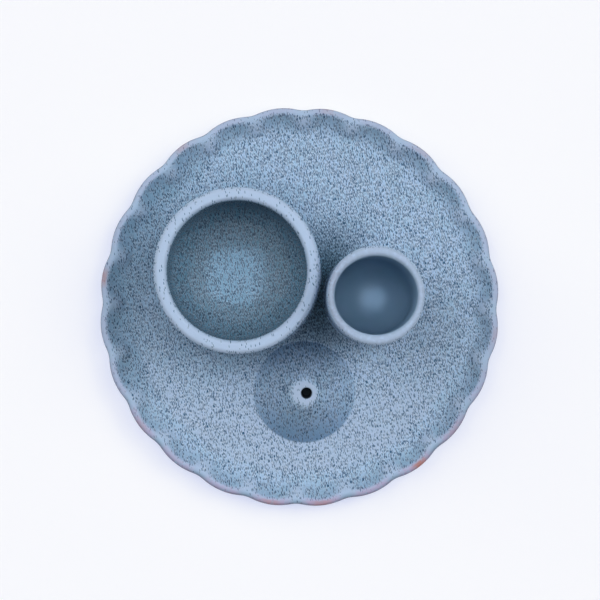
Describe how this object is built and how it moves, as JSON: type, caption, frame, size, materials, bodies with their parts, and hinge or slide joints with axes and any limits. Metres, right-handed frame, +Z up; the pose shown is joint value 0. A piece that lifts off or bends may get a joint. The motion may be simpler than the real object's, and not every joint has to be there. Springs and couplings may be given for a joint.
{
  "type": "smudge holder",
  "caption": "Round fluted ceramic dish that carries a wide cup for a herb bundle, a taller narrow cup for wood sticks and a low cone with a hole for an incense stick.",
  "frame": {"origin": "middle of the dish, on the plane of its foot ring", "axes": "+Z up out of the dish, +X towards the stick cup, +Y away from the incense cone"},
  "size_m": [0.1508, 0.1508, 0.0531],
  "materials": {
    "dish_glaze": "satin",
    "cup_glaze": "satin",
    "cone_glaze": "satin",
    "slip_seam": "satin"
  },
  "bodies": {
    "root": {"dish": "dish_glaze", "bundle_cup": "cup_glaze", "stick_cup": "cup_glaze", "incense_cone": "cone_glaze", "bundle_cup_slip": "slip_seam", "stick_cup_slip": "slip_seam", "incense_cone_slip": "slip_seam"}
  },
  "joints": []
}
